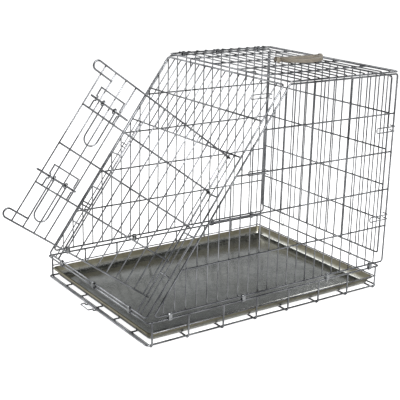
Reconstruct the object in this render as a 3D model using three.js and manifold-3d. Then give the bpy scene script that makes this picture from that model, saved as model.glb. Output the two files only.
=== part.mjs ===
// Sloping-front wire dog crate: galvanised tray in a wire base, five hinged mesh panels, a side-hung
// door with two slide-bolt latches. Millimetres, +Z up, the sloping front faces -Y, the door's hinge
// side is +X. The origin is at the centre of the base's underside.
import * as THREE from 'three';
import { mergeVertices } from 'three/addons/utils/BufferGeometryUtils.js';
import Module from 'manifold-3d';

const wasm = await Module();
wasm.setup();

// Driving dimensions
const length = 780; // base, between the centre-lines of its front and rear rim wires
const width = 560; // base, between the centre-lines of its side rim wires
const height = 632; // centre-line of the top panel's frame
const topDepth = 380; // top panel, front to rear
const rimHeight = 68; // centre-line of the base's upper rim wire
const frameWire = 5; // panel frames, rims and bolts
const railWire = 4; // cross rails of the panels and floor wires
const meshWire = 3; // close-set bars
const weldSink = 0.4; // how deep two crossing wires are pressed together
const seatGap = 0.3; // between a piece and the neighbour it is fixed on
const frameBend = 9; // centre-line radius of a panel frame's corners
const barPitch = 33; // widest spacing of the close-set bars
const spaces = 5; // spaces between the bottom rail, the cross rails and the top rail of a panel

const sideGap = 12; // a side panel's bottom rail above the rim wire
const frontGap = 10; // the front panel's bottom rail above the rim wire
const backGap = 38; // the back panel's bottom rail above the rim wire, so it folds over the front panel
const sideSetback = 14; // a side panel's front corner behind the front rim wire
const sideOverhang = 12; // a side panel's rear edge behind the rear rim wire
const topSeat = 6.5; // top panel's frame above the side panels' top rails
const panelClearance = 1.5; // between the folding end panels and the side panels' bars
const frontTopClearance = 14; // front panel's top rail below the top panel's front rail, along its swing
const backTopDrop = 13; // back panel's top rail below the top panel's frame

const crossWires = 8; // floor U-wires
const floorWires = 5; // floor wires running front to rear
const trayDepth = 25;
const midRailRise = 2; // centre-line of the base's middle wire above the tray's lip
const traySheet = 1.2;
const trayTaper = 9;
const trayLip = 5;
const traySideGap = 4; // tray lip to the U-wires' legs
const trayEndGap = 6; // tray lip to the rim wire at the front and the rear

const catchReach = 20; // tray catch's bar from the wire it turns on
const catchWidth = 46;
const catchPlace = -18; // middle of the tray catch in x

const clipSheet = 1.5;
const clipWidth = 11;
const runningGap = 0.4; // a wire turning in a clip or eye
const clipPlay = 0.9; // extra room in a clip for the wire's own turning

const doorMargin = 128; // the door is this much narrower than the base
const doorBottom = 48; // along the slope, from the front panel's bottom rail
const doorTop = 452;
const hingeInset = 46; // hinge stile in from the front panel's near edge
const doorGap = 8; // free edge of the door to the far stile
const doorRails = 5;
const doorBars = 14;
const hairpinReach = 30; // the door's top and bottom rails project this far past its free edge
const hairpinBack = 62; // length of a hairpin's returning leg
const hairpinWidth = 22;
const openingTop = 462;
const upperRailPlace = 0.16; // front panel's upper cross rail, as a share of its length down from the top

const boltLength = 116;
const boltAbove = 26; // bolt above its door rail
const boltStand = 7; // bolt's centre out from the door rails' plane
const guideWidth = 72;
const guideHeight = 54;
const guideInset = 15; // guide's outer arm in from the door's free edge
const guideWire = 3.5;
const handleWidth = 36;
const handleDrop = 99; // latch handle's round end below its bolt
const upperBoltPast = 0; // bolt end past the door's free edge
const lowerBoltPast = 20;
const upperHandleInset = 37; // handle's outer leg in from the free edge
const lowerHandleInset = 29;
const keeperWire = 3;
const keeperPlay = 1;
const upperKeeperPast = 9.5; // keeper's plane past the door's free edge
const lowerKeeperPast = 24.5;

const carrySpan = 164; // wanted distance between the saddles, which stand on the nearest bars
const carryReach = 62;
const carryThick = 12;
const carryGripLength = 92;
const carryGripWidth = 24;
const carryHinge = 30; // hinge line of the carry handle in x
const carryShare = 0.63; // middle of the carry handle, as a share of the top's depth from its front

// Derived places
const halfLength = length / 2;
const halfWidth = width / 2;
const trayBottom = 2 * frameWire;
const midRailHeight = trayBottom + trayDepth + midRailRise;
const doorWidth = width - doorMargin;
const sideBottom = rimHeight + sideGap;
const sideTop = height - topSeat;
const sideFront = -halfLength + sideSetback;
const sideRear = halfLength + sideOverhang;
const topFront = sideRear - topDepth;
const slopeAngle = Math.atan2(sideTop - sideBottom, topFront - sideFront);
const frontHinge = rimHeight + frontGap;
const backHinge = rimHeight + backGap;
const barOffset = (frameWire + meshWire) / 2 - weldSink;
const endPanelHalf = halfWidth - barOffset - meshWire / 2 - panelClearance - frameWire / 2;
const frontLength = Math.hypot(topFront + halfLength, height - frontHinge) - frontTopClearance;

const slopeUp = new THREE.Vector3(0, Math.cos(slopeAngle), Math.sin(slopeAngle));
const slopeOut = new THREE.Vector3(0, -Math.sin(slopeAngle), Math.cos(slopeAngle));
const axisX = new THREE.Vector3(1, 0, 0);
const axisY = new THREE.Vector3(0, 1, 0);
const axisZ = new THREE.Vector3(0, 0, 1);

// Materials
const zinc = new THREE.MeshStandardMaterial({ color: 0x9a9da0, roughness: 0.35, metalness: 1 });
const galvanised = new THREE.MeshStandardMaterial({ color: 0x8d908c, roughness: 0.3, metalness: 1 });
const clipSteel = new THREE.MeshStandardMaterial({ color: 0xb4b7ba, roughness: 0.3, metalness: 1 });
const plastic = new THREE.MeshStandardMaterial({ color: 0xa39a8a, roughness: 0.55, metalness: 0 });

// A plane in which flat wire shapes are drawn: origin, the directions of the drawing's x and y.
function plane(origin, across, up) {
  return { origin: new THREE.Vector3(...origin), across, up, out: across.clone().cross(up) };
}

function place(geometry, frame, offset = 0) {
  const matrix = new THREE.Matrix4().makeBasis(frame.across, frame.up, frame.out);
  matrix.setPosition(frame.origin.clone().addScaledVector(frame.out, offset));
  return geometry.applyMatrix4(matrix);
}

function toSolid(geometry) {
  const bare = new THREE.BufferGeometry().setAttribute('position', geometry.getAttribute('position'));
  bare.setIndex(geometry.getIndex());
  const merged = mergeVertices(bare, 1e-4);
  const mesh = new wasm.Mesh({
    numProp: 3,
    vertProperties: merged.attributes.position.array,
    triVerts: new Uint32Array(merged.index.array),
  });
  return new wasm.Manifold(mesh);
}

function toGeometry(solid) {
  const mesh = solid.getMesh();
  const geometry = new THREE.BufferGeometry();
  geometry.setAttribute('position', new THREE.BufferAttribute(mesh.vertProperties, 3));
  geometry.setIndex(new THREE.BufferAttribute(mesh.triVerts, 1));
  return geometry;
}

const join = (solids) => wasm.Manifold.union(solids);

// Centre-line of a bent wire through 2D points, with its corners rounded to the bend radius.
function bentLine(points, bend, closed, steps = 3) {
  const line = [];
  const count = points.length;
  points.forEach((point, i) => {
    const corner = new THREE.Vector2(...point);
    if (!closed && (i === 0 || i === count - 1)) {
      line.push(corner);
      return;
    }
    const before = new THREE.Vector2(...points[(i + count - 1) % count]).sub(corner).normalize();
    const after = new THREE.Vector2(...points[(i + 1) % count]).sub(corner).normalize();
    const half = Math.acos(THREE.MathUtils.clamp(before.dot(after), -1, 1)) / 2;
    const back = bend / Math.tan(half);
    const start = corner.clone().addScaledVector(before, back);
    const toCentre = before.clone().add(after).normalize();
    const centre = corner.clone().addScaledVector(toCentre, bend / Math.sin(half));
    const spoke = start.clone().sub(centre);
    const turn = (Math.PI - 2 * half) * Math.sign(after.cross(before));
    for (let k = 0; k <= steps; k++) {
      line.push(spoke.clone().rotateAround(new THREE.Vector2(), (turn * k) / steps).add(centre));
    }
  });
  return line;
}

// The line moved sideways by a distance, keeping its straight runs parallel.
function offsetLine(line, distance, closed) {
  const count = line.length;
  return line.map((point, i) => {
    const hasBefore = closed || i > 0;
    const hasAfter = closed || i < count - 1;
    const into = hasBefore ? point.clone().sub(line[(i + count - 1) % count]).normalize() : null;
    const away = hasAfter ? line[(i + 1) % count].clone().sub(point).normalize() : null;
    const first = into ?? away;
    const second = away ?? into;
    const normal = new THREE.Vector2(-(first.y + second.y), first.x + second.x).normalize();
    const square = new THREE.Vector2(-first.y, first.x);
    return point.clone().addScaledVector(normal, distance / normal.dot(square));
  });
}

// A wire of square section along a flat line, drawn in a plane and lifted off it by an offset.
function wire(frame, points, size, { bend = 0, closed = false, offset = 0, deep = size } = {}) {
  const line = bend > 0 ? bentLine(points, bend, closed) : points.map((p) => new THREE.Vector2(...p));
  const left = offsetLine(line, size / 2, closed);
  const right = offsetLine(line, -size / 2, closed);
  const shape = new THREE.Shape();
  if (closed) {
    const isLeftOuter = Math.abs(THREE.ShapeUtils.area(left)) > Math.abs(THREE.ShapeUtils.area(right));
    const [outer, inner] = isLeftOuter ? [left, right] : [right, left];
    if (THREE.ShapeUtils.isClockWise(outer)) {
      outer.reverse();
      inner.reverse();
    }
    shape.setFromPoints(outer);
    shape.holes.push(new THREE.Path(inner));
  } else {
    shape.setFromPoints([...left, ...right.reverse()]);
  }
  const geometry = new THREE.ExtrudeGeometry(shape, { depth: deep, bevelEnabled: false });
  geometry.translate(0, 0, -deep / 2);
  return toSolid(place(geometry, frame, offset));
}

// Even places strictly between two ends, no further apart than a pitch.
function between(low, high, pitch) {
  const count = Math.ceil((high - low) / pitch);
  return Array.from({ length: count - 1 }, (_, i) => low + ((high - low) * (i + 1)) / count);
}

function nearestOf(places, target) {
  return places.reduce((best, place) => (Math.abs(place - target) < Math.abs(best - target) ? place : best));
}

const parts = [];
function add(name, solid, material) {
  const mesh = new THREE.Mesh(toGeometry(solid), material);
  mesh.name = name;
  parts.push(mesh);
  return mesh;
}

// The first and last floor U-wires stand just inside the rim's rounded corners.
const endWire = halfLength - frameBend - frameWire / 2 - 0.5;
const bottomWireZ = frameWire * 1.5 - weldSink;
const uWireAt = (i) => -endWire + (2 * endWire * i) / (crossWires - 1);

// Base: floor U-wires, floor wires, bottom and middle perimeter wires, rim
function buildBase() {
  const solids = [];
  const legX = halfWidth;
  for (let i = 0; i < crossWires; i++) {
    const upright = plane([0, uWireAt(i), 0], axisX, axisZ);
    const low = frameWire / 2;
    const outline = [[-legX, rimHeight], [-legX, low], [legX, low], [legX, rimHeight]];
    solids.push(wire(upright, outline, frameWire, { bend: frameBend }));
  }
  const rim = plane([0, 0, rimHeight], axisX, axisY);
  const rimOutline = [[-legX, -halfLength], [legX, -halfLength], [legX, halfLength], [-legX, halfLength]];
  solids.push(wire(rim, rimOutline, frameWire, { bend: frameBend, closed: true }));
  const inX = halfWidth - frameWire + weldSink;
  const bottom = plane([0, 0, bottomWireZ], axisX, axisY);
  const bottomOutline = [[-inX, -halfLength], [inX, -halfLength], [inX, halfLength], [-inX, halfLength]];
  solids.push(wire(bottom, bottomOutline, frameWire, { bend: frameBend, closed: true }));
  const midX = halfWidth - barOffset;
  const mid = plane([0, 0, midRailHeight], axisX, axisY);
  [-1, 1].forEach((side) => {
    solids.push(wire(mid, [[side * midX, -endWire - 1], [side * midX, endWire + 1]], meshWire));
  });
  solids.push(wire(mid, [[-halfWidth, endWire + barOffset], [halfWidth, endWire + barOffset]], meshWire));
  const floorZ = frameWire + railWire / 2 - 1.5 * weldSink;
  const floor = plane([0, 0, floorZ], axisX, axisY);
  between(-inX, inX, (2 * inX) / (floorWires + 1) + 1e-6).forEach((x) => {
    solids.push(wire(floor, [[x, -halfLength], [x, halfLength]], railWire));
  });
  return join(solids);
}

// Box whose plan grows from one half-size at the bottom to another at the top
function taperedBox(low, high, bottom, top) {
  const geometry = new THREE.BoxGeometry(2, 2, top - bottom);
  const position = geometry.getAttribute('position');
  for (let i = 0; i < position.count; i++) {
    const half = position.getZ(i) > 0 ? high : low;
    position.setX(i, Math.sign(position.getX(i)) * half[0]);
    position.setY(i, Math.sign(position.getY(i)) * half[1]);
  }
  geometry.translate(0, 0, (top + bottom) / 2);
  return toSolid(geometry);
}

const trayLipX = halfWidth - frameWire / 2 - traySideGap;
const trayLipY = halfLength - trayEndGap;

function buildTray() {
  const top = trayBottom + trayDepth;
  const wallX = trayLipX - trayLip;
  const wallY = trayLipY - trayLip;
  const outer = taperedBox([wallX - trayTaper, wallY - trayTaper], [wallX, wallY], trayBottom, top);
  const lip = taperedBox([trayLipX, trayLipY], [trayLipX, trayLipY], top - 2 * traySheet, top);
  const inX = wallX - traySheet;
  const inY = wallY - traySheet;
  const inner = taperedBox([inX - trayTaper, inY - trayTaper], [inX, inY], trayBottom + traySheet, top + 0.01);
  return join([outer, lip]).subtract(inner);
}

// Tray catch lying forward: a U-wire whose two hooks turn on the bottom front wire
function buildCatch() {
  const e = frameWire / 2 + clipPlay + runningGap + meshWire / 2;
  const half = catchWidth / 2;
  const flat = plane([catchPlace, -halfLength, bottomWireZ], axisX, axisY);
  const reach = [[-half, -e], [-half, -catchReach], [half, -catchReach], [half, -e]];
  const solids = [wire(flat, reach, meshWire, { bend: meshWire })];
  [-half, half].forEach((x) => {
    const upright = plane([catchPlace + x, -halfLength, bottomWireZ], axisY, axisZ);
    solids.push(wire(upright, [[-e, meshWire / 2], [-e, -e], [e, -e], [e, 1]], meshWire));
  });
  return join(solids);
}

// Frame, cross rails and close-set bars of a panel drawn in its plane; bars lie on one side of the rails
function grille(frame, outline, rails, bars, barSide) {
  const solids = [wire(frame, outline, frameWire, { bend: frameBend, closed: true })];
  rails.forEach((rail) => solids.push(wire(frame, rail, railWire)));
  const offset = barSide * barOffset;
  bars.forEach((bar) => solids.push(wire(frame, bar, meshWire, { offset })));
  return solids;
}

// Side panel: vertical rear edge, sloping front edge. Drawn in y and z.
function buildSide(side) {
  const across = axisY.clone().multiplyScalar(side);
  const frame = plane([side * halfWidth, 0, 0], across, axisZ);
  const toX = (y) => y * side;
  const frontAt = (z) => sideFront + (z - sideBottom) / Math.tan(slopeAngle);
  const outline = [[toX(sideFront), sideBottom], [toX(sideRear), sideBottom], [toX(sideRear), sideTop],
    [toX(topFront), sideTop]];
  const rails = between(sideBottom, sideTop, (sideTop - sideBottom) / spaces + 1e-6)
    .map((z) => [[toX(frontAt(z)), z], [toX(sideRear), z]]);
  const bars = between(sideFront, sideRear, barPitch).map((y) => {
    const topZ = Math.min(sideTop, sideBottom + (y - sideFront) * Math.tan(slopeAngle));
    return [[toX(y), sideBottom], [toX(y), topZ]];
  });
  return join(grille(frame, outline, rails, bars, -1));
}

// Back panel: folds inwards, so its bars are on the outside
function buildBack() {
  const frame = plane([0, halfLength, 0], axisX.clone().negate(), axisZ);
  const top = height - backTopDrop;
  const x = endPanelHalf;
  const outline = [[-x, backHinge], [x, backHinge], [x, top], [-x, top]];
  const rails = between(backHinge, top, (top - backHinge) / spaces + 1e-6).map((z) => [[-x, z], [x, z]]);
  const bars = between(-x, x, barPitch).map((u) => [[u, backHinge], [u, top]]);
  return join(grille(frame, outline, rails, bars, 1));
}

// Top panel: its bars run across on the upper side
function buildTop() {
  const frame = plane([0, 0, height], axisX, axisY);
  const x = halfWidth;
  const outline = [[-x, topFront], [x, topFront], [x, sideRear], [-x, sideRear]];
  const rails = between(-x, x, (2 * x) / spaces + 1e-6).map((u) => [[u, topFront], [u, sideRear]]);
  const bars = between(topFront, sideRear, barPitch).map((y) => [[-x, y], [x, y]]);
  return join(grille(frame, outline, rails, bars, 1));
}

// Front panel, drawn along the slope: x across, y up the slope from its hinge line
const frontFrame = plane([0, -halfLength, frontHinge], axisX, slopeUp);
const hingeStile = endPanelHalf - hingeInset;
const farStile = hingeStile - doorWidth - doorGap;

function buildFront() {
  const x = endPanelHalf;
  const top = frontLength;
  const outline = [[-x, 0], [x, 0], [x, top], [-x, top]];
  const upperRail = top * (1 - upperRailPlace);
  const rails = [[[-x, upperRail], [x, upperRail]], [[-x, openingTop], [x, openingTop]]];
  const lowStep = openingTop / (doorRails - 1);
  for (let i = 1; i < doorRails - 1; i++) {
    rails.push([[-x, i * lowStep], [farStile, i * lowStep]]);
    rails.push([[hingeStile, i * lowStep], [x, i * lowStep]]);
  }
  const lowerKeeper = doorRailAt(1) + boltAbove;
  [-1, 1].forEach((side) => {
    const y = lowerKeeper + side * keeperLegGap();
    rails.push([[-x, y], [farStile, y]]);
  });
  const opening = (u) => u > farStile + 1 && u < hingeStile - 1;
  const bars = between(-x, x, barPitch)
    .filter((u) => Math.abs(u - farStile) > meshWire * 2 && Math.abs(u - hingeStile) > frameWire * 2)
    .map((u) => [[u, opening(u) ? openingTop : 0], [u, top]]);
  const solids = grille(frontFrame, outline, rails, bars, -1);
  [farStile, hingeStile].forEach((u) => {
    solids.push(wire(frontFrame, [[u, 0], [u, openingTop]], frameWire));
  });
  return join(solids);
}

function keeperLegGap() {
  return frameWire / 2 + keeperPlay + keeperWire / 2;
}

// Door, drawn open at a right angle to the front panel: x away from the hinge stile, y up the slope
const eyeCentre = frameWire / 2 + clipPlay + runningGap + railWire / 2;
const doorOrigin = frontFrame.origin.clone().addScaledVector(axisX, hingeStile);
const doorFrame = plane(doorOrigin.toArray(), slopeOut, slopeUp);

function doorRailAt(index) {
  return doorBottom + ((doorTop - doorBottom) * index) / (doorRails - 1);
}

// The drawing's out direction is -x here; the latch side of the door is +x.
const latchSide = -1;
const doorPlane = latchSide * eyeCentre;
const barPlane = doorPlane - latchSide * ((railWire + meshWire) / 2 - weldSink);

function buildDoor() {
  const solids = [];
  for (let i = 0; i < doorRails; i++) {
    const y = doorRailAt(i);
    const isEnd = i === 0 || i === doorRails - 1;
    const inward = i === 0 ? 1 : -1;
    const tip = doorWidth + hairpinReach;
    const back = y + inward * hairpinWidth;
    const plain = [[0, y], [doorWidth, y]];
    const hairpin = [[0, y], [tip, y], [tip, back], [tip - hairpinBack, back]];
    solids.push(wire(doorFrame, isEnd ? hairpin : plain, railWire,
      { bend: isEnd ? hairpinWidth / 2 - 0.01 : 0, offset: doorPlane }));
    const eyeFrame = plane(doorOrigin.clone().addScaledVector(slopeUp, y).toArray(), axisX, slopeOut);
    const e = eyeCentre;
    const eye = [[-e, -e], [e, -e], [e, e], [-e, e]];
    solids.push(wire(eyeFrame, eye, railWire, { bend: railWire, closed: true }));
  }
  const first = eyeCentre + railWire + meshWire;
  for (let i = 0; i < doorBars; i++) {
    const x = first + ((doorWidth - first) * i) / (doorBars - 1);
    solids.push(wire(doorFrame, [[x, doorRailAt(0)], [x, doorRailAt(doorRails - 1)]], meshWire,
      { offset: barPlane }));
  }
  return join(solids);
}

// A slide-bolt latch at a door rail: the guide stands on the door, the bolt slides in it and the
// handle turns on the bolt.
const boltPlane = doorPlane + latchSide * boltStand;

function buildGuide(railY) {
  const low = railY;
  const top = railY + guideHeight;
  const outer = doorWidth - guideInset;
  const inner = outer - guideWidth;
  const seat = doorPlane + latchSide * ((railWire + guideWire) / 2 + seatGap);
  const crown = boltPlane + latchSide * (frameWire / 2 + runningGap + guideWire / 2 + 0.4);
  const solids = [low, top].map((y) => wire(doorFrame, [[inner, y], [outer, y]], guideWire, { offset: seat }));
  const boltY = railY + boltAbove;
  const half = frameWire / 2 + runningGap + guideWire / 2 + 0.6;
  [inner, outer].forEach((x) => {
    const origin = doorOrigin.clone().addScaledVector(slopeOut, x);
    const arm = plane(origin.toArray(), axisX.clone().negate(), slopeUp);
    const line = [[seat, low - guideWire / 2], [seat, boltY - half], [crown, boltY - half],
      [crown, boltY + half], [seat, boltY + half], [seat, top + guideWire / 2]];
    solids.push(wire(arm, line, guideWire));
  });
  return join(solids);
}

function buildBolt(railY, past) {
  const y = railY + boltAbove;
  const tip = doorWidth + past;
  return wire(doorFrame, [[tip - boltLength, y], [tip, y]], frameWire, { offset: boltPlane });
}

function buildHandle(railY, inset) {
  const y = railY + boltAbove;
  const outer = doorWidth - inset;
  const inner = outer - handleWidth;
  const e = frameWire / 2 + clipPlay + runningGap + guideWire / 2;
  const handlePlane = boltPlane + latchSide * e;
  const loop = [[inner, y], [inner, y - handleDrop], [outer, y - handleDrop], [outer, y]];
  const solids = [wire(doorFrame, loop, guideWire, { bend: handleWidth / 2 - 0.01, offset: handlePlane })];
  [inner, outer].forEach((x) => {
    const origin = doorOrigin.clone().addScaledVector(slopeOut, x).addScaledVector(slopeUp, y);
    const ring = plane(origin.addScaledVector(axisX, -boltPlane).toArray(), axisX, slopeUp);
    solids.push(wire(ring, [[-e, -e], [e, -e], [e, e], [-e, e]], guideWire, { bend: guideWire, closed: true }));
  });
  return join(solids);
}

// Keeper: a staple on the far stile that takes the bolt when the door is shut
function buildKeeper(railY, past) {
  const boltHeight = eyeCentre + boltStand;
  const leg = keeperLegGap();
  const top = boltHeight + frameWire / 2 + keeperPlay + keeperWire / 2;
  const x = hingeStile - doorWidth - past;
  const y = railY + boltAbove;
  const origin = frontFrame.origin.clone().addScaledVector(axisX, x).addScaledVector(slopeUp, y);
  const frame = plane(origin.toArray(), slopeUp, slopeOut);
  const foot = Math.max(frameWire, railWire) / 2 + runningGap;
  return wire(frame, [[-leg, foot], [-leg, top], [leg, top], [leg, foot]], keeperWire, { bend: keeperWire });
}

// Rolled clip round two parallel wires one above the other. The wires run along the drawing's out.
function buildClip(frame, low, high, wide = clipWidth) {
  const half = frameWire / 2 + runningGap + clipPlay + clipSheet / 2;
  const outline = [[-half, low - half], [half, low - half], [half, high + half], [-half, high + half]];
  return wire(frame, outline, clipSheet, { bend: half - 0.4, closed: true, deep: wide });
}

// Hook loop at a side panel's rear edge, passing behind the back panel's edge
function buildRearHook(side, z) {
  const legGap = 14;
  const reach = 66;
  const x = side * (halfWidth + (frameWire + meshWire) / 2 + seatGap);
  const rear = sideRear + frameWire / 2 + meshWire / 2 + runningGap;
  const front = sideRear - reach;
  const flat = plane([x, 0, z], axisY, axisZ);
  const g = legGap / 2;
  const solids = [wire(flat, [[rear, -g], [front, -g], [front, g], [rear, g]], meshWire, { bend: 5 })];
  [-g, g].forEach((dz) => {
    const level = plane([0, rear, z + dz], axisX, axisY);
    const outerX = x + (side * meshWire) / 2;
    solids.push(wire(level, [[outerX, 0], [outerX - side * 22, 0]], meshWire));
  });
  return join(solids);
}

// Hook hanging from the top panel's front rail, in front of the front panel's top rail
function buildTopHook(x) {
  const e = frameWire / 2 + runningGap + meshWire / 2;
  const frame = plane([x, topFront, height], axisY, axisZ);
  const drop = 16;
  const reach = 26;
  const line = [[e, -e], [e, e], [-reach, e], [-reach, -drop]];
  return wire(frame, line, meshWire, { bend: 1.4 });
}

// Carry handle lying flat on the top, and the two saddles its hinge bar turns in
const saddleThick = 12;
const carryBar = 4;
const saddlePlaces = [-1, 1].map((end) => {
  const wanted = topFront + carryShare * topDepth + (end * carrySpan) / 2;
  return nearestOf(between(topFront, sideRear, barPitch), wanted);
});
const carryLength = saddlePlaces[1] - saddlePlaces[0] - saddleThick - 2;
const carryZ = height + barOffset + meshWire / 2 + carryThick / 2 + 2.5;

function buildCarryHandle() {
  const middle = (saddlePlaces[0] + saddlePlaces[1]) / 2;
  const flat = plane([carryHinge, middle, carryZ], axisX, axisY);
  const half = carryLength / 2;
  const outline = new THREE.Shape();
  outline.moveTo(-carryBar, -half);
  outline.lineTo(carryReach * 0.35, -half);
  outline.quadraticCurveTo(carryReach, -half, carryReach, 0);
  outline.quadraticCurveTo(carryReach, half, carryReach * 0.35, half);
  outline.lineTo(-carryBar, half);
  const grip = new THREE.Path();
  const gripHalf = carryGripLength / 2;
  const round = carryGripWidth / 2;
  grip.absarc(carryReach * 0.42, gripHalf - round, round, 0, Math.PI);
  grip.absarc(carryReach * 0.42, round - gripHalf, round, Math.PI, 2 * Math.PI);
  outline.holes.push(grip);
  const body = new THREE.ExtrudeGeometry(outline, { depth: carryThick, bevelEnabled: false, curveSegments: 7 });
  body.translate(0, 0, -carryThick / 2);
  const bar = new THREE.CylinderGeometry(carryBar, carryBar, carryLength + 2 * saddleThick + 4, 12);
  return join([toSolid(place(body, flat)), toSolid(place(bar, flat))]);
}

function buildSaddle(middle) {
  const low = height + barOffset + meshWire / 2 + runningGap;
  const high = carryZ + carryBar + 4;
  const block = new THREE.BoxGeometry(18, saddleThick, high - low);
  block.translate(carryHinge, middle, (low + high) / 2);
  const boreRadius = carryBar + runningGap + 0.2;
  const bore = new THREE.CylinderGeometry(boreRadius, boreRadius, saddleThick + 2, 12);
  bore.translate(carryHinge, middle, carryZ);
  return toSolid(block).subtract(toSolid(bore));
}

add('base_frame', buildBase(), zinc);
add('tray', buildTray(), galvanised);
add('tray_catch', buildCatch(), zinc);
add('right_side_panel', buildSide(1), zinc);
add('left_side_panel', buildSide(-1), zinc);
add('back_panel', buildBack(), zinc);
add('top_panel', buildTop(), zinc);
add('front_panel', buildFront(), zinc);
add('door_panel', buildDoor(), zinc);

const lowerRail = doorRailAt(1);
const upperRail = doorRailAt(doorRails - 2);
add('upper_latch_guide', buildGuide(upperRail), zinc);
add('lower_latch_guide', buildGuide(lowerRail), zinc);
add('upper_latch_bolt', buildBolt(upperRail, upperBoltPast), zinc);
add('lower_latch_bolt', buildBolt(lowerRail, lowerBoltPast), zinc);
add('upper_latch_handle', buildHandle(upperRail, upperHandleInset), zinc);
add('lower_latch_handle', buildHandle(lowerRail, lowerHandleInset), zinc);
add('upper_keeper', buildKeeper(upperRail, upperKeeperPast), zinc);
add('lower_keeper', buildKeeper(lowerRail, lowerKeeperPast), zinc);

// Middle of the space between two bars that is nearest to a place and suits a test
function nearestGap(place, low, high, suits = () => true) {
  const edges = [low, ...between(low, high, barPitch), high];
  return nearestOf(edges.slice(2, -1).map((edge, i) => (edge + edges[i + 1]) / 2).filter(suits), place);
}

function isClearOfLegs(y) {
  const room = (clipWidth + frameWire) / 2 + 1;
  return Array.from({ length: crossWires }, (_, i) => uWireAt(i)).every((leg) => Math.abs(leg - y) > room);
}

function isClearOfStiles(x) {
  const room = (clipWidth + frameWire) / 2 + 1;
  return [farStile, hingeStile].every((stile) => Math.abs(stile - x) > room);
}

const sideClipPlaces = [-0.42, -0.12, 0.25, 0.45];
[[1, 'right'], [-1, 'left']].forEach(([side, name]) => {
  sideClipPlaces.forEach((share, i) => {
    const y = nearestGap(share * length, sideFront, sideRear, isClearOfLegs);
    const frame = plane([side * halfWidth, y, 0], axisX, axisZ);
    add(`${name}_hinge_clip_${i + 1}`, buildClip(frame, rimHeight, sideBottom), clipSteel);
  });
  [0.25, 0.72].forEach((share, i) => {
    const z = sideBottom + (sideTop - sideBottom) * share;
    add(`${name}_rear_hook_${i + 1}`, buildRearHook(side, z), zinc);
  });
});

[-0.36, 0, 0.36].forEach((share, i) => {
  const x = nearestGap(share * width, -endPanelHalf, endPanelHalf, isClearOfStiles);
  const frame = plane([x, -halfLength, 0], axisY, axisZ);
  add(`front_hinge_clip_${i + 1}`, buildClip(frame, rimHeight, frontHinge), clipSteel);
});
[-0.3, 0.3].forEach((share, i) => {
  const x = nearestGap(share * width, -endPanelHalf, endPanelHalf);
  const frame = plane([x, halfLength, 0], axisY, axisZ);
  add(`back_hinge_link_${i + 1}`, buildClip(frame, rimHeight, backHinge, railWire), clipSteel);
});
[0.12, 0.5, 0.88].forEach((share, i) => {
  const y = nearestGap(topFront + share * topDepth, topFront, sideRear);
  const frame = plane([-halfWidth, y, 0], axisX, axisZ);
  add(`top_hinge_clip_${i + 1}`, buildClip(frame, sideTop, height), clipSteel);
});
[-0.22, 0.22].forEach((share, i) => {
  add(`top_front_hook_${i + 1}`, buildTopHook(nearestGap(share * width, -halfWidth, halfWidth)), zinc);
});
add('carry_handle', buildCarryHandle(), plastic);
saddlePlaces.forEach((y, i) => add(`carry_handle_saddle_${i + 1}`, buildSaddle(y), plastic));

const group = new THREE.Group();
group.add(...parts);

export default group;
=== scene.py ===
import math

import bmesh
import bpy
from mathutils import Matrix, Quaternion, Vector


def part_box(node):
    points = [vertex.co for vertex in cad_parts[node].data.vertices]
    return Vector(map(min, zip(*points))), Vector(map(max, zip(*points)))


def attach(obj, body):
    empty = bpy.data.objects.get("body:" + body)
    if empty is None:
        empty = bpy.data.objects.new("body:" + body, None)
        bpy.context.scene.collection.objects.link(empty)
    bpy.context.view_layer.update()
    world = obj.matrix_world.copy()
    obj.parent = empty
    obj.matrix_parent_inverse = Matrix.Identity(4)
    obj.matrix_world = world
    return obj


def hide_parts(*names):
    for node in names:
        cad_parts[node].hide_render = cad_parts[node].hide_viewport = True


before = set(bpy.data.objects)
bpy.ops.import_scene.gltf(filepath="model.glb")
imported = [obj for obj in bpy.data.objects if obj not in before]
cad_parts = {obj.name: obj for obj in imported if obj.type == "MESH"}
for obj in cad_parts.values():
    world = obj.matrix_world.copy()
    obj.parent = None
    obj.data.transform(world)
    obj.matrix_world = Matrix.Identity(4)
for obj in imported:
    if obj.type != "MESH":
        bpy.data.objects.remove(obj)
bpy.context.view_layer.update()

along = Vector((0, 1, 0))
across = Vector((1, 0, 0))
upward = Vector((0, 0, 1))

wire = {"frame": 0.005, "rail": 0.0044, "mesh": 0.0034, "latch": 0.0038, "keeper": 0.003}
build = {
    "frameSides": 12,
    "barSides": 10,
    "bendSteps": 6,  # rings round each bend
    "frameBend": 0.007,
    "weldSink": 0.0004,
    "play": 0.0013,  # between a wire and the eye or clip that holds it
}
barLift = (wire["frame"] + wire["mesh"]) / 2 - build["weldSink"]  # bars lie beside the rails


def clearSelection():
    if bpy.context.mode != "OBJECT":
        bpy.ops.object.mode_set(mode="OBJECT")
    bpy.ops.object.select_all(action="DESELECT")


def takeUp(*pieces):  # selects these, the first one active
    clearSelection()
    for piece in pieces:
        piece.select_set(True)
    bpy.context.view_layer.objects.active = pieces[0]


def openEdit(piece, kind="FACE"):
    takeUp(piece)
    bpy.ops.object.mode_set(mode="EDIT")
    bpy.ops.mesh.select_mode(type=kind)
    bpy.ops.mesh.select_all(action="DESELECT")


def closeEdit():
    bpy.ops.object.mode_set(mode="OBJECT")


def chooseFaces(piece, test):
    bpy.ops.mesh.select_mode(type="FACE")
    bpy.ops.mesh.select_all(action="DESELECT")
    drawn = bmesh.from_edit_mesh(piece.data)
    drawn.normal_update()
    for face in [f for f in drawn.faces if test(f.calc_center_median(), f.normal)]:
        face.select_set(True)
    bmesh.update_edit_mesh(piece.data)


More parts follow.
